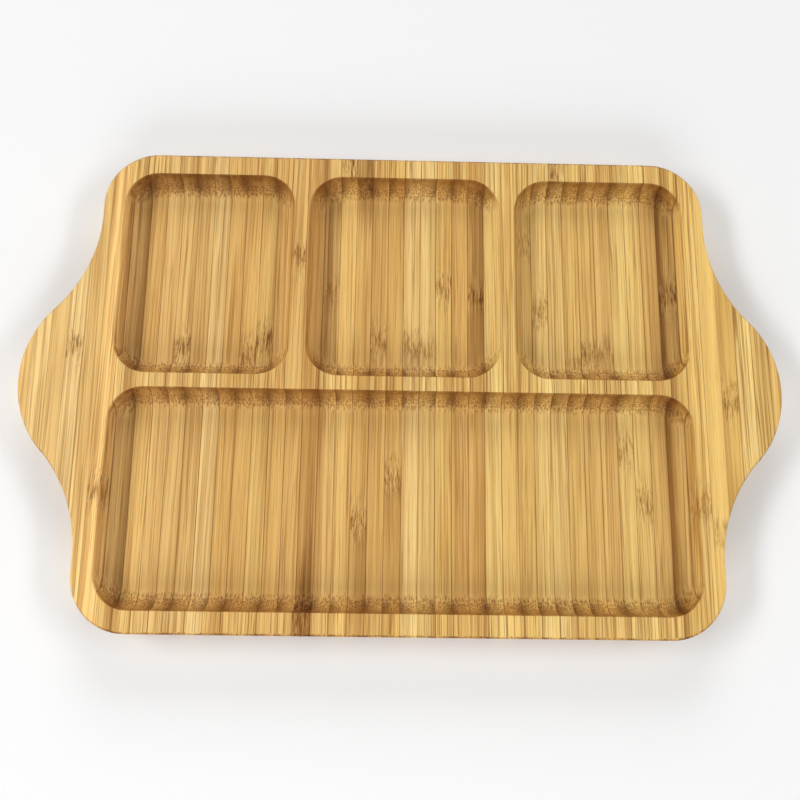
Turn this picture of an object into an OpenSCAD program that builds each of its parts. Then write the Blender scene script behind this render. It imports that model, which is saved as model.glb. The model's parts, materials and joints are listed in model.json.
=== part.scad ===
// Divided serving tray of side-pressed bamboo: strips glued face to face into a
// board, cut to an outline with two ears, and routed with four coved compartments.
// X runs along the width, Y from the near edge to the far edge, Z up.
// The origin is on the surface that the tray rests on, under its centre.

/* [Board] */
// Width over the tips of the two ears
tray_w = 360; // [340:1:390]
// Depth from the near edge to the far edge
tray_d = 230; // [220:1:250]
// Thickness of the board
tray_h = 18; // [16:0.5:24]
// Radius of the four outer corners, seen from above
corner_r = 26; // [18:1:30]
// Radius that eases the outer edges, top and bottom
edge_r = 1.4; // [0.8:0.1:2.5]

/* [Ears] */
// How far each ear stands out from the side
ear_reach = 32.5; // [30:0.5:36]
// Radius of the round tip of an ear
ear_tip_r = 50; // [40:1:56]
// Distance from the middle of an ear to the point where its hollow meets the side
ear_half = 82; // [76:1:88]

/* [Compartments] */
// Width of the rim between the compartments and the edge
rim_w = 10.5; // [8:0.5:14]
// Width of the dividers between compartments
divider_w = 7.5; // [6:0.5:12]
// Width of the middle compartment of the far row
middle_w = 93; // [80:1:110]
// Length of the far row's compartments from front to back
far_row_d = 100.5; // [90:0.5:110]
// Depth of the compartments below the rim
pocket_depth = 10.5; // [10:0.5:13]
// Radius of the compartment corners, seen from above
pocket_r = 16; // [12:0.5:20]
// Radius of the cove between a compartment's wall and its floor
cove_r = 9; // [6:0.5:9]
// Width of the bevel that breaks the edge of a compartment
rim_bevel = 0.4; // [0.2:0.1:0.8]

/* [Strips] */
// Number of bamboo strips from the centre line to the tip of an ear
half_count = 23; // [20:1:27]
// Width of a strip, kept by those next to the centre line and those of the ears and side rims
strip_w = 7.93; // [7:0.01:8.5]
// Width that the tip of an ear leaves of the outermost strip
tip_strip_w = 5.5; // [4:0.1:8]
// Number of strips of that width next to the centre line, on each side of it
middle_count = 7; // [6:1:8]
// Number of strips of that width at each end, next to the outermost one
end_count = 6; // [5:1:7]

/* [Hidden] */
$fn = 96;
// Length by which shapes pass beyond the faces that trim them
over = 1;
// Width of the bands of wood built along the curved outline
band_w = 16;

half_w = tray_w / 2 - ear_reach;
half_d = tray_d / 2;

strip_count = 2 * half_count;
// The strips in between, on the floors of the outer compartments, share what is left of the width
end_rank = half_count - end_count - 1;
end_x = tray_w / 2 - tip_strip_w - end_count * strip_w;
filler_x = middle_count * strip_w;
filler_w = (end_x - filler_x) / (end_rank - middle_count);

// Depth by which the hollow at an ear's root runs in under the round of the tip
tuck = 0.05;
// The hollow's radius follows: it touches the side, and the tip's circle less the tuck
tip_in = ear_tip_r - ear_reach;
tuck_r = ear_tip_r - tuck;
ear_root_r = (ear_half * ear_half + tip_in * tip_in - tuck_r * tuck_r) / (2 * (tuck_r - tip_in));
// Centres of the outer corner, of the ear's tip and of the hollow at its root, far right
corner_c = [half_w - corner_r, half_d - corner_r];
tip_c = [half_w + ear_reach - ear_tip_r, 0];
root_c = [half_w + ear_root_r, ear_half];
root_a = atan2(root_c.y - tip_c.y, root_c.x - tip_c.x);

// Compartment walls, measured from the centre of the tray
outer_x = half_w - rim_w;
middle_x = middle_w / 2;
side_x = middle_x + divider_w;
far_y = half_d - rim_w;
row_y = far_y - far_row_d;
near_y = -half_d + rim_w;
floor_z = tray_h - pocket_depth;
// The cove is limited by the wall and the corner that it runs along
cove = min(cove_r, pocket_depth, pocket_r);

// Compartments as low corner and high corner: the middle and right ones of the far row, and the
// long one in front. The left one mirrors the right one.
POCKETS = [
    [[-middle_x, row_y], [middle_x, far_y]],
    [[side_x, row_y], [outer_x, far_y]],
    [[-outer_x, near_y], [outer_x, row_y - divider_w]]
];

// Tones of bamboo, and the strips that aren't straw
STRAW = "#DDB373";
PALE = "#E6BF80";
HONEY = "#CFA263";
BROWN = "#AD7B40";
PALE_STRIPS = [2, 4, 5, 12, 24, 25, 29, 32, 33, 37, 38, 44];
HONEY_STRIPS = [13, 14, 16, 17, 21, 22, 23, 27, 28, 43];
BROWN_STRIPS = [18];
function is_in(i, strips) = len(search(i, strips)) > 0;
function strip_tone(i) =
    is_in(i, BROWN_STRIPS) ? BROWN : is_in(i, HONEY_STRIPS) ? HONEY : is_in(i, PALE_STRIPS) ? PALE : STRAW;

// Strips are counted from the left. Their rank counts from the centre line outward, from 0.
function strip_name(i) = str("bamboo_strip_", i < 10 ? "0" : "", i);
function strip_rank(i) = i > half_count ? i - half_count - 1 : half_count - i;
// Distance from the centre line at which the strip of this rank begins
function strip_x(rank) =
    rank < middle_count ? rank * strip_w :
    rank < end_rank ? filler_x + (rank - middle_count) * filler_w :
    rank < half_count ? end_x + (rank - end_rank) * strip_w : tray_w / 2 + over;
function reaches(rank, low, high) = strip_x(rank) < high && strip_x(rank + 1) > low;

// Quarter of a disc with its square corner at the origin, on the sides given by the signs sx and sy
module quarter_disc(r, sx, sy) {
    intersection() {
        circle(r);
        translate([sx < 0 ? -r : 0, sy < 0 ? -r : 0]) square(r);
    }
}

// Section across an edge of the board: w wide, with its outer side at x = 0 eased top and bottom
module edge_section(w) {
    translate([-w, 0]) square([w - edge_r, tray_h]);
    translate([-edge_r, edge_r]) square([edge_r, tray_h - 2 * edge_r]);
    translate([-edge_r, edge_r]) quarter_disc(edge_r, 1, -1);
    translate([-edge_r, tray_h - edge_r]) quarter_disc(edge_r, 1, 1);
}

// Right half of the board between its outer corners, eased along the near and far edges
module board_middle() {
    translate([-over, 0, 0]) rotate([90, 0, 90]) linear_extrude(corner_c.x + over)
        for (s = [0, 1]) mirror([s, 0]) translate([half_d, 0]) edge_section(half_d);
}

// Right-hand side of the board beyond its middle, with two outer corners
module board_side() {
    translate([corner_c.x, -corner_c.y, 0]) cube([corner_r - band_w / 2, 2 * corner_c.y, tray_h]);
    for (s = [0, 1]) mirror([0, s, 0]) {
        translate(corner_c) rotate_extrude(angle = 90) translate([corner_r, 0]) edge_section(corner_r);
        if (corner_c.y > ear_half)
            translate([half_w, corner_c.y, 0]) rotate([90, 0, 0]) linear_extrude(corner_c.y - ear_half)
                edge_section(band_w);
    }
}

// Right-hand ear: a round tip, with a band of wood round the hollow on each side
module ear() {
    translate(tip_c) rotate_extrude() translate([ear_tip_r, 0]) edge_section(ear_tip_r);
    for (s = [0, 1]) mirror([0, s, 0]) translate(root_c) rotate([0, 0, 180])
        rotate_extrude(angle = root_a) translate([ear_root_r, 0]) mirror([1, 0]) edge_section(band_w);
}

// What the strip of this rank holds of the right half of the board, before routing
module board(rank) {
    if (reaches(rank, 0, corner_c.x)) board_middle();
    if (reaches(rank, corner_c.x, half_w)) board_side();
    if (reaches(rank, half_w - band_w / 2, tray_w / 2)) ear();
}

// Section of the routed space, from its middle at x = 0 to the wall at x = w
module wall_section(w) {
    translate([0, floor_z + cove]) square([w, pocket_depth - cove + over]);
    translate([0, floor_z]) square([w - cove, cove]);
    translate([w - cove, floor_z + cove]) quarter_disc(cove, 1, -1);
    polygon([[w, tray_h - rim_bevel], [w, tray_h + over], [w + rim_bevel + over, tray_h + over]]);
}

// Routed space between the round corners of a compartment
module pocket_middle(low, high) {
    l = high.x - low.x - 2 * pocket_r;
    half_l = (high.y - low.y) / 2;
    translate([low.x + pocket_r, low.y + half_l, 0]) rotate([90, 0, 90]) linear_extrude(l)
        for (s = [0, 1]) mirror([s, 0]) wall_section(half_l);
}

// Routed space along a side wall that stands at x = 0, with the two round corners beside it
module pocket_side(low_y, high_y) {
    l = high_y - low_y - 2 * pocket_r;
    translate([0, (low_y + high_y) / 2, 0]) {
        translate([pocket_r, l / 2, 0]) rotate([90, 0, 0]) linear_extrude(l)
            mirror([1, 0]) wall_section(pocket_r);
        for (s = [0, 1]) mirror([0, s, 0]) translate([pocket_r, l / 2, 0]) rotate([0, 0, 90])
            rotate_extrude(angle = 90) wall_section(pocket_r);
    }
}

// What the strip of this rank meets of the routed space of a compartment
module pocket(rank, low, high) {
    lip = rim_bevel + over;
    if (reaches(rank, low.x + pocket_r, high.x - pocket_r)) pocket_middle(low, high);
    if (reaches(rank, low.x - lip, low.x + pocket_r))
        translate([low.x, 0, 0]) pocket_side(low.y, high.y);
    if (reaches(rank, high.x - pocket_r, high.x + lip))
        translate([high.x, 0, 0]) mirror([1, 0, 0]) pocket_side(low.y, high.y);
}

// Strip on the right-hand half: its slice of the routed board
module strip_slice(rank) {
    intersection() {
        translate([strip_x(rank), -half_d - over, -over])
            cube([strip_x(rank + 1) - strip_x(rank), tray_d + 2 * over, tray_h + 2 * over]);
        difference() {
            board(rank);
            for (p = POCKETS) pocket(rank, p[0], p[1]);
        }
    }
}

// One bamboo strip. The strips on the left mirror those on the right.
module bamboo_strip(i) {
    color(strip_tone(i)) mirror([i > half_count ? 0 : 1, 0, 0]) strip_slice(strip_rank(i));
}

for (i = [1:strip_count]) bamboo_strip(i);
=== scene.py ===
import json
import math
import random

import bpy
from mathutils import Matrix, Vector


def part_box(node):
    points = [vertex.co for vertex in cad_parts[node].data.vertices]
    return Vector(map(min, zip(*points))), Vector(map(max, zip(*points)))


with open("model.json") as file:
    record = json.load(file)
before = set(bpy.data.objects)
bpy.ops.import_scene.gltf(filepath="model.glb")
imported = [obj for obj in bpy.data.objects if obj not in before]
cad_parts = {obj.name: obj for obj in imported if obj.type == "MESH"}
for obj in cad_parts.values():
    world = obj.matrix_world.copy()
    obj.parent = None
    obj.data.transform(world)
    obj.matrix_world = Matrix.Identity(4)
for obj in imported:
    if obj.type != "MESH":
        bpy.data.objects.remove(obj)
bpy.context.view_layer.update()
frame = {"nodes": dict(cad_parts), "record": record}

# Divided serving tray of side-pressed bamboo. The strips keep their CAD shape and get a bamboo
# finish: fibres along Y, so that the same fibres show as streaks on the faces and as dots on the
# walls that cut them across. Lengths in the finish are in millimetres.
MM = 0.001
STRIPS = sorted(frame["nodes"])
# Width of a strip. The tips of the ears leave only part of it on the two outermost ones.
STRIP_W = 7.93

# Tones of the ground between the fibres, by the record's material slots, as display colours
GROUND = {
    "bamboo_pale": (248, 213, 138),
    "bamboo_straw": (243, 202, 124),
    "bamboo_honey": (233, 189, 111),
    "bamboo_brown": (216, 168, 96),
}
USUAL_SLOT = "bamboo_straw"

# Tones of fibres, lines, joints of the cane and glue
FIBRE_BROWN = (176, 122, 58)
LINE_BROWN = (146, 94, 40)
PALE_LINE = (245, 212, 146)
KNOT_BROWN = (110, 64, 26)
GLUE_BROWN = (126, 80, 34)

# Shades that the tones are multiplied by: browner stretches of wood, painted shade in coves and on
# walls, end grain on the open and on the dense side of a strip, painted shade on the upper walls,
# and the cut ends of the fibre bundles
STAIN_AND_PAINTED_SHADE_TONE = (140, 103, 71)
OPEN_END_SHADE = (230, 218, 200)
DENSE_END_SHADE = (158, 136, 115)
UPPER_WALL_PAINTED_SHADE = (164, 138, 112)
BUNDLE_SHADE = (158, 130, 106)

# Every strip's own tone: its gain is drawn from a range, and its warmth is 0 at the neutral strip,
# grows from left to right by 1 over the span, and is spread at random
GAIN_RANGE = (0.985, 1.1)
NEUTRAL_STRIP = 18
WARMTH_SPAN = 26
WARMTH_SPREAD = (-0.6, 0.6)
# Share of green that a warmth of 1 adds, and share of blue that it takes away
WARMER_GREEN = 0.006
WARMER_BLUE = 0.07

# Strips that are lighter or darker than their tone, and by how much
GAIN = {
    1: 1.05, 2: 1.12, 3: 1.03, 4: 0.98, 5: 1.11, 6: 1.24, 17: 0.95, 18: 0.96, 29: 1.02, 30: 1.06,
    42: 1.08, 43: 0.94, 44: 1.06, 45: 0.9, 46: 1.04,
}

# Strips of the ears and side rims with fainter lines than the rest, and the strength of the lines.
# Below the strength of a smooth strip, the broad stripes are fainter too.
SMOOTH = 0.7
LINES = {1: SMOOTH, 2: 0.6, 3: 0.45, 4: 0.8, 5: SMOOTH, 6: SMOOTH, 42: 0.25, 43: 0.45, 46: SMOOTH}

# Strips whose denser side, the outside of the cane, is on the right
DENSE_RIGHT = (4, 7, 9, 10, 12, 13, 15, 18, 21, 25, 26, 28, 30, 36, 38, 39, 45)

# How brown the denser side is, and the strips where it is browner. These lie along the coves with
# their denser side turned to the crease, where the extra brown also paints the shade of the crease
USUAL_CROWDING = 0.17
CROWDED_AND_COVE_SHADE = {7: 0.45, 19: 0.4, 28: 0.4, 40: 0.9}

# Where a joint of the cane crosses a strip, measured along Y, and its strength
CANE_JOINTS = {
    4: (17, 0.9), 6: (-52, 0.8), 10: (19, 0.9), 14: (17, 0.8), 15: (24, 1.0), 17: (64, 0.9),
    18: (-106, 0.8), 19: (47, 0.6), 20: (112, 1.0), 21: (-64, 0.9), 22: (23, 0.8), 23: (-42, 0.9),
    24: (22, 0.7), 25: (20, 0.6), 26: (53, 0.8), 28: (47, 1.0), 31: (74, 0.6), 32: (41, 0.8),
    33: (111, 0.9), 34: (14, 0.5), 35: (18, 0.8), 36: (19, 0.6), 37: (-29, 0.7), 38: (-52, 0.8),
    40: (48, 1.0), 41: (-55, 0.6), 42: (-68, 0.6), 43: (-6, 0.8),
}
NO_JOINT = (0, 0.0)

# Strips that are browner on the near side of their joint, and by how much
BROWNER_NEAR = {14: 0.2, 21: 0.45, 23: 0.35, 24: 0.3, 28: 0.2, 36: 0.15, 41: 0.2}

# Strips of the left compartment whose far wall takes painted shade, darker than other walls, and how strong
# it is
FAR_WALL_PAINTED_SHADE = {7: 0.3, **dict.fromkeys(range(8, 15), 0.34), 15: 0.3, 16: 0.26}

# Darker stretches of a strip. On strips 18 and 21 they are browner wood; on 6 and 30 they are
# painted shade on walls that face right, and on 7, 19, 28, 39 and 40 painted shade in the coves and
# painted shadow on the floor beside them. Each gives the Y where one begins, the end that it runs
# to, the height that it stays below, and its strength
FAR, NEAR = 1, -1
WHOLE_LENGTH = -200
EVERYWHERE = 30
WALL = 17.5
DEEP = 14
STAINS_AND_PAINTED_SHADE = {
    6: ((WHOLE_LENGTH, FAR, WALL, 0.6),),
    7: ((WHOLE_LENGTH, FAR, DEEP, 0.46),),
    18: ((-10, NEAR, DEEP, 0.35), (-60, NEAR, EVERYWHERE, 0.58)),
    19: ((-4, FAR, DEEP, 0.34),),
    21: ((70, FAR, EVERYWHERE, 0.7),),
    28: ((-4, FAR, DEEP, 0.46),),
    30: ((-4, FAR, WALL, 0.38),),
    39: ((WHOLE_LENGTH, FAR, DEEP, 0.26),),
    40: ((-20, FAR, DEEP, 0.22), (WHOLE_LENGTH, FAR, DEEP, 0.42)),
}

# Middle level of a noise
NOISE_MIDDLE = 0.5

# Sizes of the patterns across, along and up a strip
BROAD_SIZE = (2.0, 240.0, 4.0)
DRIFT_SIZE = (9.0, 60.0, 12.0)
VEIN_SIZE = (1.5, 240.0, 3.0)
VEIN_BREAK_SIZE = (2.5, 50.0, 4.0)
HAIR_SIZE = (0.45, 60.0, 0.9)
FLECK_SIZE = (0.4, 14.0, 0.6)
FLAME_SIZE = (0.7, 6.0, 0.9)
GLUE_SIZE = (3.0, 40.0, 6.0)
DARKER_STRETCH_END_SIZE = (0.8, 60.0, 2.0)
DARKER_STRETCH_STREAK_SIZE = (1.6, 90.0, 3.0)
# Spacing of the fibre bundles across and up a strip, and how unevenly they are spaced
BUNDLE_SPACING = (1.05, 0.9)
BUNDLE_UNEVEN = 0.7

# Fades: the value where one begins, the value where it ends, and its strength at these two values,
# which is 0 and 1 if not given. These fade by the level of a pattern.
BROAD_FADE = (0.42, 0.66, 0.0, 0.52)
DRIFT_FADE = (0.45, 0.75, 0.0, 0.25)
VEIN_FADE = (0.045, 0.005)
VEIN_BREAK_FADE = (0.35, 0.6, 0.2, 1.0)
PALE_HAIR_FADE = (0.44, 0.32, 0.0, 0.6)
BROWN_HAIR_FADE = (0.56, 0.65, 0.0, 0.55)
FLECK_FADE = (0.52, 0.75, 0.0, 0.35)
PALE_FLAME_FADE = (0.45, 0.37, 0.0, 0.5)
DARK_FLAME_FADE = (0.5, 0.6, 0.0, 0.85)
NEAR_STRIPE_FADE = (0.32, 0.55, 0.4, 1.0)
BUNDLE_FADE = (0.52, 0.22)
GLUE_FADE = (0.3, 0.62, 0.25, 0.9)
DARKER_STRETCH_STREAK_FADE = (0.35, 0.62, 0.35, 1.0)
# These fade by how squarely the surface cuts the fibres, from 0 to 1
END_GRAIN_FADE = (0.12, 0.42)
END_SHADE_FADE = (0.05, 0.75)
# This one fades by the distance from the middle of the strip, which is 1 at its side
GLUE_EDGE_FADE = (0.91, 0.99)
# These fade by height: lines and fibres from floor to rim, and the coves into the upper walls
LINE_HEIGHT_FADE = (9.0, 17.0, 0.7, 1.0)
FLOOR_FADE = (17.0, 9.0, 0.0, 0.15)
UPPER_WALL_FADE = (10.5, 15.5)
DARKER_STRETCH_TOP_FADE = (0.0, 2.0)
# These fade along Y: at the outer edges of the tray, at the far walls, on the near side of a joint,
# and where a darker stretch begins, of browner wood on some strips and of painted shade on others
OUTER_EDGE_FADE = (112.0, 108.0)
FAR_WALL_FADE = (85.0, 98.0)
NEAR_START_FADE = (1.0, -5.0)
NEAR_END_FADE = (-75.0, -12.0)
DARKER_STRETCH_RUN = 40.0
DARKER_STRETCH_RUN_FADE = (0.0, DARKER_STRETCH_RUN)

# Half-length of a joint's brown band and of the zone where fibres swirl round it
JOINT_BAND = 4.5
JOINT_SWIRL = 9.0
# How far a joint strays along Y, and how fast that changes across and up the strip
JOINT_STRAY = 10.0
STRAY_RATE = 0.22
# How far fibres sway, how much farther in a joint, and how fast that changes across and along them
SWAY = 0.8
JOINT_SWAY = 3.2
SWAY_RATE = 0.16
SWAY_RATE_ALONG = 0.035
# Largest slope of a strip's fibres against Y, and the share of it that they also have upwards
SLOPE = 0.012
SLOPE_UP = 0.8

# Strength of the veins, of a joint's brown band, and of the painted shade of the upper walls
VEIN_SHARE = 0.75
JOINT_SHARE = 0.55
UPPER_WALL_PAINTED_SHADE_SHARE = 0.6
# Strength of the faintest bundle, what the strongest has more, and what is lost on the upper walls
BUNDLE_LEAST = 0.4
BUNDLE_SPREAD = 0.35
BUNDLE_LOSS = 0.75
# How much a bundle brings the edge of the end grain forward
END_RAGGED = 0.1
# How steeply the fibres crowd towards the dense side
CROWD_POWER = 2.0

# Gloss and relief of the oiled bamboo, which is rougher at flecks and on end grain
ROUGHNESS = 0.38
FLECK_ROUGHNESS = 0.16
END_ROUGHNESS = 0.14
SPECULAR = 0.12
HAIR_RELIEF = 0.6
RELIEF_STRENGTH = 0.35
RELIEF_DEPTH = 0.06

# Seeds: the step from the pattern of one strip to the next, the patterns of the darker stretches
# of browner wood and painted shade, and all random draws
SEED_STEP = 3.7
DARKER_STRETCH_END_SEED = 0.0
DARKER_STRETCH_STREAK_SEED = 5.0
CHANCE_SEED = 46

# Half the width of the floor in metres, its paint, and the world's light on surfaces
FLOOR_HALF = 1.0
FLOOR_WHITE = 0.93
FLOOR_ROUGHNESS = 0.9
WORLD_FILL = 0.16
# Softboxes that face the tray: place and height in metres, and power in watts
SOFTBOX_W = 1.0
SOFTBOXES = (
    ("left softbox", (-1.15, 0.0, 0.95), 0.3, 11.0),
    ("right softbox", (1.15, 0.0, 0.95), 0.3, 7.2),
    ("near softbox", (0.0, -1.0, 0.5), 0.42, 5.7),
    ("far softbox", (0.0, 1.5, 0.75), 0.62, 11.2),
)
# Camera above the long compartment: place in millimetres, turns in degrees, focal length and image
# width in pixels, sensor width in millimetres, and the nearest distance that it sees in metres
CAMERA_PLACE = (-7.47, -87.71, 397.06)
CAMERA_TURNS = ((11.92, "X"), (-0.93, "Y"), (0.97, "Z"))
FOCAL_PIXELS = 827.4
IMAGE_PIXELS = 800
SENSOR_WIDTH = 36.0
CLIP_START = 0.01


def linear(rgb):
    """A display colour from 0 to 255 as the linear colour that a shader takes."""
    out = []
    for c in rgb:
        c /= 255
        out.append(c / 12.92 if c <= 0.04045 else ((c + 0.055) / 1.055) ** 2.4)
    return (*out, 1.0)


def tinted(rgb, gain, warmth):
    """A linear colour made lighter by a gain, and yellower by a warmth above 0 or pinker below it."""
    r, g, b, a = linear(rgb)
    return (gain * r, gain * g * (1 + WARMER_GREEN * warmth), gain * b * (1 - WARMER_BLUE * warmth), a)


class Wiring:
    """Adds nodes to a shader tree and joins them."""

    def __init__(self, tree):
        self.tree = tree

    def put(self, value, socket):
        if isinstance(value, bpy.types.NodeSocket):
            self.tree.links.new(value, socket)
        else:
            socket.default_value = value

    def node(self, kind, **settings):
        made = self.tree.nodes.new("ShaderNode" + kind)
        for name, value in settings.items():
            setattr(made, name, value)
        return made

    def maths(self, operation, *values, clamp=False):
        made = self.node("Math", operation=operation, use_clamp=clamp)
        for value, socket in zip(values, made.inputs):
            self.put(value, socket)
        return made.outputs[0]

    def times(self, first, *others):
        """The product of several values."""
        out = first
        for other in others:
            out = self.maths("MULTIPLY", out, other)
        return out

    def vector(self, x, y, z):
        made = self.node("CombineXYZ")
        for value, socket in zip((x, y, z), made.inputs):
            self.put(value, socket)
        return made.outputs[0]

    def parts(self, vector):
        made = self.node("SeparateXYZ")
        self.put(vector, made.inputs[0])
        return made.outputs

    def place(self):
        """X, Y and Z of the surface in millimetres."""
        made = self.node("VectorMath", operation="SCALE")
        self.put(self.node("TexCoord").outputs["Object"], made.inputs[0])
        made.inputs["Scale"].default_value = 1 / MM
        return self.parts(made.outputs[0])

    def in_sizes(self, place, size):
        """A place counted in the size of a pattern along each axis."""
        return self.vector(*(self.maths("DIVIDE", p, s) for p, s in zip(place, size)))

    def noise(self, vector, seed, detail=2.0, roughness=0.5):
        made = self.node("TexNoise", noise_dimensions="4D")
        self.put(vector, made.inputs["Vector"])
        self.put(seed, made.inputs["W"])
        self.put(1.0, made.inputs["Scale"])
        self.put(detail, made.inputs["Detail"])
        self.put(roughness, made.inputs["Roughness"])
        return made.outputs

    def fade(self, value, begin, end, at_begin=0.0, at_end=1.0):
        """A smooth change of strength between two values."""
        made = self.node("MapRange", interpolation_type="SMOOTHSTEP")
        for item, socket in zip((value, begin, end, at_begin, at_end), made.inputs):
            self.put(item, socket)
        return made.outputs[0]

    def mix(self, factor, a, b, blend="MIX"):
        made = self.node("Mix", data_type="RGBA", blend_type=blend)
        self.put(factor, made.inputs["Factor"])
        self.put(a, made.inputs["A"])
        self.put(b, made.inputs["B"])
        return made.outputs["Result"]


class Bamboo(Wiring):
    """Draws the bamboo of one strip into a shader node group."""

    def __init__(self, tree):
        super().__init__(tree)
        self.given = tree.nodes.new("NodeGroupInput").outputs
        self.x, self.y, self.z = self.place()
        from_middle = self.maths("SUBTRACT", self.x, self.given["Strip X"])
        self.across = self.maths("DIVIDE", from_middle, self.given["Half Width"])
        self.find_joint()
        self.run_fibres()
        self.gather_bundles()
        self.find_cut()
        self.broad = self.streaks(BROAD_SIZE, detail=1.0)
        self.hair = self.streaks(HAIR_SIZE, detail=1.0)
        self.fleck = self.streaks(FLECK_SIZE, detail=2.0, roughness=0.6)

    def find_joint(self):
        """Distance along Y from the joint of the cane, and nearness to it."""
        stray = self.vector(self.times(self.x, STRAY_RATE), 0.0, self.times(self.z, STRAY_RATE))
        stray = self.noise(stray, self.given["Seed"])[0]
        stray = self.maths("MULTIPLY_ADD", stray, JOINT_STRAY, -JOINT_STRAY / 2)
        self.from_joint = self.maths("ADD", self.maths("SUBTRACT", self.y, self.given["Joint Y"]), stray)
        self.joint = self.joint_bell(JOINT_BAND)
        self.swirl = self.joint_bell(JOINT_SWIRL)

    def joint_bell(self, half_length):
        """Nearness to the joint, which falls off over a half-length."""
        t = self.maths("DIVIDE", self.from_joint, half_length)
        return self.times(self.maths("EXPONENT", self.times(t, t, -1.0)), self.given["Joint Strength"])

    def run_fibres(self):
        """Where a fibre lies across and up the strip. Fibres sway a little, and more round a joint."""
        rates = (SWAY_RATE, SWAY_RATE_ALONG, SWAY_RATE)
        place = (self.times(p, rate) for p, rate in zip((self.x, self.y, self.z), rates))
        sway = self.parts(self.noise(self.vector(*place), self.given["Seed"], detail=1.0)[1])
        reach = self.maths("MULTIPLY_ADD", self.swirl, JOINT_SWAY, SWAY)
        slope = self.given["Slope"]
        fibre_x = self.maths("MULTIPLY_ADD", self.y, slope, self.x)
        fibre_z = self.maths("MULTIPLY_ADD", self.y, self.times(slope, SLOPE_UP), self.z)
        sway_x = self.times(self.maths("SUBTRACT", sway[0], NOISE_MIDDLE), reach)
        sway_z = self.times(self.maths("SUBTRACT", sway[1], NOISE_MIDDLE), reach)
        self.fibre_x = self.maths("ADD", fibre_x, sway_x)
        self.fibre_z = self.maths("ADD", fibre_z, sway_z)

    def streaks(self, size, **settings):
        """A pattern drawn out along the fibres."""
        place = self.in_sizes((self.fibre_x, self.y, self.fibre_z), size)
        return self.noise(place, self.given["Seed"], **settings)[0]

    def gather_bundles(self):
        """The cut ends of the fibre bundles, and a lot drawn for each of them."""
        cells = self.node("TexVoronoi", voronoi_dimensions="2D", feature="F1")
        x = self.maths("DIVIDE", self.fibre_x, BUNDLE_SPACING[0])
        z = self.maths("DIVIDE", self.fibre_z, BUNDLE_SPACING[1])
        self.put(self.vector(x, z, 0.0), cells.inputs["Vector"])
        cells.inputs["Scale"].default_value = 1.0
        cells.inputs["Randomness"].default_value = BUNDLE_UNEVEN
        self.lot = self.parts(cells.outputs["Color"])[0]
        self.bundle = self.fade(cells.outputs["Distance"], *BUNDLE_FADE)

    def find_cut(self):
        """How squarely the surface cuts the fibres, how densely they lie, where lines are fainter, and
        where upper walls are smoother and take painted shade.
        """
        self.cut = self.maths("ABSOLUTE", self.parts(self.node("NewGeometry").outputs["Normal"])[1])
        ragged_cut = self.maths("MULTIPLY_ADD", self.lot, END_RAGGED, self.cut)
        self.end_grain = self.fade(ragged_cut, *END_GRAIN_FADE)
        # Fibres crowd towards the side of the strip that was the outside of the cane. The side runs
        # from -1 to 1, and the density from 0 to 1.
        side = self.times(self.across, self.given["Dense Side"])
        density = self.maths("MULTIPLY_ADD", side, 0.5, 0.5, clamp=True)
        self.crowd = self.maths("POWER", density, CROWD_POWER)
        # Lines are fainter on the routed floors, and upper walls are smoother than coves and take a painted
        # shade, browner than the coves
        self.line_height = self.fade(self.z, *LINE_HEIGHT_FADE)
        inside = self.fade(self.maths("ABSOLUTE", self.y), *OUTER_EDGE_FADE)
        self.upper_wall = self.times(self.fade(self.z, *UPPER_WALL_FADE), inside)

    def veins(self):
        """Thin broken lines."""
        vein = self.maths("SUBTRACT", self.streaks(VEIN_SIZE, detail=1.0), NOISE_MIDDLE)
        vein = self.maths("ABSOLUTE", vein)
        broken = self.fade(self.streaks(VEIN_BREAK_SIZE), *VEIN_BREAK_FADE)
        return self.times(self.fade(vein, *VEIN_FADE), broken, VEIN_SHARE)

    def long_grain(self):
        """The colour of the faces that lie along the fibres."""
        ground, fibre = self.given["Ground"], self.given["Fibre"]
        pale, brown = linear(PALE_LINE), linear(LINE_BROWN)
        smooth = self.maths("DIVIDE", self.given["Lines"], SMOOTH, clamp=True)
        uncut = self.maths("SUBTRACT", 1.0, self.end_grain)
        lines = self.times(uncut, self.given["Lines"], self.line_height)
        colour = self.mix(
            self.times(self.fade(self.broad, *BROAD_FADE), self.line_height, smooth), ground, fibre)
        colour = self.mix(self.fade(self.streaks(DRIFT_SIZE, detail=1.0), *DRIFT_FADE), colour, fibre)
        colour = self.mix(self.times(self.fade(self.hair, *PALE_HAIR_FADE), lines), colour, pale)
        colour = self.mix(self.times(self.fade(self.hair, *BROWN_HAIR_FADE), lines), colour, brown)
        colour = self.mix(self.times(self.veins(), lines), colour, brown)
        colour = self.mix(self.fade(self.fleck, *FLECK_FADE), colour, fibre)
        # Brown on the denser side; on the strips along the coves it is also painted shade in the crease
        colour = self.mix(self.times(self.crowd, self.given["Crowding And Cove Shade"]), colour, brown)
        return self.mix(self.fade(self.z, *FLOOR_FADE), colour, fibre)

    def cane_joint(self, colour):
        """A browner band with dark and pale flames, and a browner stretch on its near side."""
        near = self.times(
            self.fade(self.from_joint, *NEAR_START_FADE), self.fade(self.from_joint, *NEAR_END_FADE))
        near = self.times(near, self.fade(self.broad, *NEAR_STRIPE_FADE), self.given["Browner Near"])
        flame = self.streaks(FLAME_SIZE, detail=2.0, roughness=0.65)
        pale = self.times(self.swirl, self.fade(flame, *PALE_FLAME_FADE))
        dark = self.times(self.swirl, self.fade(flame, *DARK_FLAME_FADE))
        colour = self.mix(near, colour, linear(LINE_BROWN))
        colour = self.mix(self.times(self.joint, JOINT_SHARE), colour, linear(FIBRE_BROWN))
        colour = self.mix(pale, colour, linear(PALE_LINE))
        return self.mix(dark, colour, linear(KNOT_BROWN))

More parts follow.
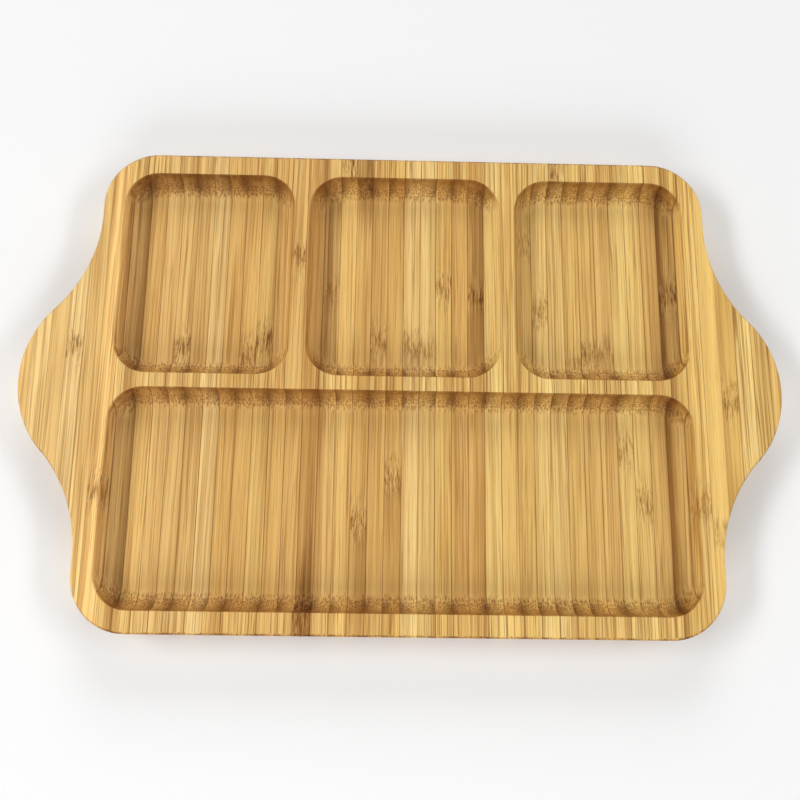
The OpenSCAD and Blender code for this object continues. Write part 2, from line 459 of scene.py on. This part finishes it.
    def cut_ends(self, colour):
        """End grain: deeper in tone, more so on the dense side, with the bundles standing out, and painted
        shade on the upper walls and on the far walls of the left compartment.
        """
        shade = self.mix(self.crowd, linear(OPEN_END_SHADE), linear(DENSE_END_SHADE))
        # Painted shade: the upper walls are made browner than the coves
        shade = self.mix(self.times(self.upper_wall, UPPER_WALL_PAINTED_SHADE_SHARE), shade, linear(UPPER_WALL_PAINTED_SHADE))
        cut_share = self.fade(self.cut, *END_SHADE_FADE)
        # Painted shade on the far walls of the left compartment
        far_wall_shade = self.times(self.fade(self.y, *FAR_WALL_FADE), self.fade(self.y, *OUTER_EDGE_FADE))
        far_wall_shade = self.times(far_wall_shade, cut_share, self.given["Far Wall Painted Shade"])
        strength = self.maths("MULTIPLY_ADD", self.lot, BUNDLE_SPREAD, BUNDLE_LEAST)
        kept = self.maths("MULTIPLY_ADD", self.upper_wall, -BUNDLE_LOSS, 1.0)
        dots = self.times(self.bundle, strength, kept, self.end_grain)
        colour = self.mix(cut_share, colour, shade, blend="MULTIPLY")
        colour = self.mix(far_wall_shade, colour, linear(STAIN_AND_PAINTED_SHADE_TONE), blend="MULTIPLY")
        return self.mix(dots, colour, linear(BUNDLE_SHADE), blend="MULTIPLY")

    def glue_lines(self, colour):
        """Brown lines along both sides of the strip, stronger in patches."""
        edge = self.fade(self.maths("ABSOLUTE", self.across), *GLUE_EDGE_FADE)
        patches = self.fade(self.streaks(GLUE_SIZE), *GLUE_FADE)
        return self.mix(self.times(edge, patches, self.given["Lines"]), colour, linear(GLUE_BROWN))

    def roughness(self):
        rough = self.maths("MULTIPLY_ADD", self.fleck, FLECK_ROUGHNESS, ROUGHNESS)
        return self.maths("MULTIPLY_ADD", self.end_grain, END_ROUGHNESS, rough)

    def relief(self):
        """Height of the fibres, for the bump."""
        return self.maths("MULTIPLY_ADD", self.hair, HAIR_RELIEF, self.fleck)


def add_sockets(tree, in_out, sockets):
    """Names the inputs or outputs of a node group."""
    for name, kind in sockets:
        tree.interface.new_socket(name, in_out=in_out, socket_type="NodeSocket" + kind)


def bamboo_group():
    """The bamboo of one strip, as a shader node group."""
    tree = bpy.data.node_groups.new("bamboo", "ShaderNodeTree")
    add_sockets(tree, "INPUT", (
        ("Strip X", "Float"), ("Half Width", "Float"), ("Seed", "Float"), ("Ground", "Color"),
        ("Fibre", "Color"), ("Dense Side", "Float"), ("Slope", "Float"), ("Joint Y", "Float"),
        ("Joint Strength", "Float"), ("Browner Near", "Float"), ("Far Wall Painted Shade", "Float"),
        ("Lines", "Float"), ("Crowding And Cove Shade", "Float"),
    ))
    add_sockets(tree, "OUTPUT", (("Color", "Color"), ("Roughness", "Float"), ("Height", "Float")))
    bamboo = Bamboo(tree)
    colour = bamboo.long_grain()
    colour = bamboo.cane_joint(colour)
    colour = bamboo.cut_ends(colour)
    colour = bamboo.glue_lines(colour)
    result = tree.nodes.new("NodeGroupOutput").inputs
    bamboo.put(colour, result["Color"])
    bamboo.put(bamboo.roughness(), result["Roughness"])
    bamboo.put(bamboo.relief(), result["Height"])
    return tree


def stain_and_shade_group():
    """A darker stretch of a strip, browner wood on some strips and painted shade on others, as a shader
    node group that changes its colour.
    """
    tree = bpy.data.node_groups.new("browner stretch and painted shade", "ShaderNodeTree")
    add_sockets(tree, "INPUT", (
        ("Color", "Color"), ("From", "Float"), ("Side", "Float"), ("Below", "Float"), ("Strength", "Float"),
    ))
    add_sockets(tree, "OUTPUT", (("Color", "Color"),))
    w = Wiring(tree)
    given = tree.nodes.new("NodeGroupInput").outputs
    x, y, z = w.place()
    ragged = w.noise(w.in_sizes((x, y, z), DARKER_STRETCH_END_SIZE), DARKER_STRETCH_END_SEED)[0]
    run = w.times(w.maths("SUBTRACT", y, given["From"]), given["Side"])
    run = w.maths("MULTIPLY_ADD", w.maths("SUBTRACT", ragged, NOISE_MIDDLE), DARKER_STRETCH_RUN, run)
    low = w.fade(w.maths("SUBTRACT", given["Below"], z), *DARKER_STRETCH_TOP_FADE)
    streak = w.noise(w.in_sizes((x, y, z), DARKER_STRETCH_STREAK_SIZE), DARKER_STRETCH_STREAK_SEED)[0]
    streak = w.fade(streak, *DARKER_STRETCH_STREAK_FADE)
    amount = w.times(w.fade(run, *DARKER_STRETCH_RUN_FADE), low, streak, given["Strength"])
    # Multiplies in the darker tone: browner wood on some strips, painted shade in coves and on walls on
    # others
    colour = w.mix(amount, given["Color"], linear(STAIN_AND_PAINTED_SHADE_TONE), blend="MULTIPLY")
    w.put(colour, tree.nodes.new("NodeGroupOutput").inputs["Color"])
    return tree


def strip_sides(number, node):
    """Left and right side of a strip, as if it had its whole width."""
    low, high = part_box(node)
    left, right = low.x / MM, high.x / MM
    if number == 1:
        left = right - STRIP_W
    elif number == len(STRIPS):
        right = left + STRIP_W
    return left, right


def strip_values(number, node, slot, chance):
    """What the bamboo of one strip is like."""
    left, right = strip_sides(number, node)
    gain = chance.uniform(*GAIN_RANGE) * GAIN.get(number, 1.0)
    warmth = (number - NEUTRAL_STRIP) / WARMTH_SPAN + chance.uniform(*WARMTH_SPREAD)
    joint_y, joint_strength = CANE_JOINTS.get(number, NO_JOINT)
    return {
        "Strip X": (left + right) / 2,
        "Half Width": (right - left) / 2,
        "Seed": number * SEED_STEP + chance.uniform(0, 1),
        "Ground": tinted(GROUND[slot], gain, warmth),
        "Fibre": tinted(FIBRE_BROWN, gain, warmth),
        "Dense Side": 1.0 if number in DENSE_RIGHT else -1.0,
        "Slope": chance.uniform(-SLOPE, SLOPE),
        "Joint Y": joint_y,
        "Joint Strength": joint_strength,
        "Browner Near": BROWNER_NEAR.get(number, 0.0),
        "Far Wall Painted Shade": FAR_WALL_PAINTED_SHADE.get(number, 0.0),
        "Lines": LINES.get(number, 1.0),
        "Crowding And Cove Shade": CROWDED_AND_COVE_SHADE.get(number, USUAL_CROWDING),
    }


def bamboo_material(number, values, group, stain_and_shade):
    """The finish of one strip: oiled bamboo with its darker stretches, browner wood and painted shade."""
    made = bpy.data.materials.new(f"bamboo strip {number:02d}")
    made.use_nodes = True
    w = Wiring(made.node_tree)
    shader = made.node_tree.nodes["Principled BSDF"]
    bamboo = w.node("Group", node_tree=group)
    for name, value in values.items():
        bamboo.inputs[name].default_value = value
    colour = bamboo.outputs["Color"]
    # Darker stretches: browner wood, and painted shade in the coves and on walls
    for stretch in STAINS_AND_PAINTED_SHADE.get(number, ()):
        browner_and_shaded = w.node("Group", node_tree=stain_and_shade)
        w.put(colour, browner_and_shaded.inputs["Color"])
        for name, value in zip(("From", "Side", "Below", "Strength"), stretch):
            browner_and_shaded.inputs[name].default_value = value
        colour = browner_and_shaded.outputs["Color"]
    bump = w.node("Bump")
    bump.inputs["Strength"].default_value = RELIEF_STRENGTH
    bump.inputs["Distance"].default_value = RELIEF_DEPTH * MM
    w.put(bamboo.outputs["Height"], bump.inputs["Height"])
    w.put(colour, shader.inputs["Base Color"])
    w.put(bamboo.outputs["Roughness"], shader.inputs["Roughness"])
    w.put(bump.outputs["Normal"], shader.inputs["Normal"])
    shader.inputs["Specular IOR Level"].default_value = SPECULAR
    return made


def finish_strips():
    """Gives every strip a material of its own."""
    slots = {part["node"]: part.get("material_slot") for part in frame["record"].get("subparts", [])}
    group = bamboo_group()
    stain_and_shade = stain_and_shade_group()
    chance = random.Random(CHANCE_SEED)
    for number, node in enumerate(STRIPS, 1):
        values = strip_values(number, node, slots.get(node) or USUAL_SLOT, chance)
        material = bamboo_material(number, values, group, stain_and_shade)
        for place in frame["nodes"][node].material_slots:
            place.material = material


def lay_floor():
    """A plain pale floor that takes the tray's shadow."""
    half = FLOOR_HALF
    corners = [(-half, -half, 0), (half, -half, 0), (half, half, 0), (-half, half, 0)]
    mesh = bpy.data.meshes.new("floor")
    mesh.from_pydata(corners, [], [(0, 1, 2, 3)])
    floor = bpy.data.objects.new("floor", mesh)
    bpy.context.scene.collection.objects.link(floor)
    paint = bpy.data.materials.new("floor paint")
    paint.use_nodes = True
    shader = paint.node_tree.nodes["Principled BSDF"]
    shader.inputs["Base Color"].default_value = (FLOOR_WHITE, FLOOR_WHITE, FLOOR_WHITE, 1)
    shader.inputs["Roughness"].default_value = FLOOR_ROUGHNESS
    shader.inputs["Specular IOR Level"].default_value = 0.0
    mesh.materials.append(paint)


def light_world():
    """White where it is seen or mirrored, and a faint light on everything else."""
    world = bpy.data.worlds.new("studio")
    bpy.context.scene.world = world
    world.use_nodes = True
    w = Wiring(world.node_tree)
    path = w.node("LightPath").outputs
    mirrored = w.maths("MAXIMUM", path["Is Glossy Ray"], path["Is Transmission Ray"])
    seen = w.maths("MAXIMUM", path["Is Camera Ray"], mirrored)
    back = world.node_tree.nodes["Background"]
    back.inputs["Color"].default_value = (1, 1, 1, 1)
    w.put(w.maths("MULTIPLY_ADD", seen, 1.0 - WORLD_FILL, WORLD_FILL), back.inputs["Strength"])


def hang_softboxes():
    """A soft lamp on each of the four sides, turned to the tray."""
    for name, spot, height, power in SOFTBOXES:
        lamp = bpy.data.lights.new(name, "AREA")
        lamp.shape = "RECTANGLE"
        lamp.size = SOFTBOX_W
        lamp.size_y = height
        lamp.energy = power
        holder = bpy.data.objects.new(name, lamp)
        holder.location = spot
        holder.rotation_mode = "QUATERNION"
        holder.rotation_quaternion = (-Vector(spot)).to_track_quat("-Z", "Y")
        bpy.context.scene.collection.objects.link(holder)


def set_camera():
    """The camera at the photograph's viewing angle, and plain display colours."""
    lens = bpy.data.cameras.new("camera")
    lens.sensor_width = SENSOR_WIDTH
    lens.lens = FOCAL_PIXELS / IMAGE_PIXELS * SENSOR_WIDTH
    lens.clip_start = CLIP_START
    camera = bpy.data.objects.new("camera", lens)
    tilt = Matrix.Identity(4)
    for angle, axis in CAMERA_TURNS:
        tilt = tilt @ Matrix.Rotation(math.radians(angle), 4, axis)
    camera.matrix_world = Matrix.Translation([length * MM for length in CAMERA_PLACE]) @ tilt
    bpy.context.scene.collection.objects.link(camera)
    bpy.context.scene.camera = camera
    bpy.context.scene.view_settings.view_transform = "Standard"


finish_strips()
lay_floor()
light_world()
hang_softboxes()
set_camera()
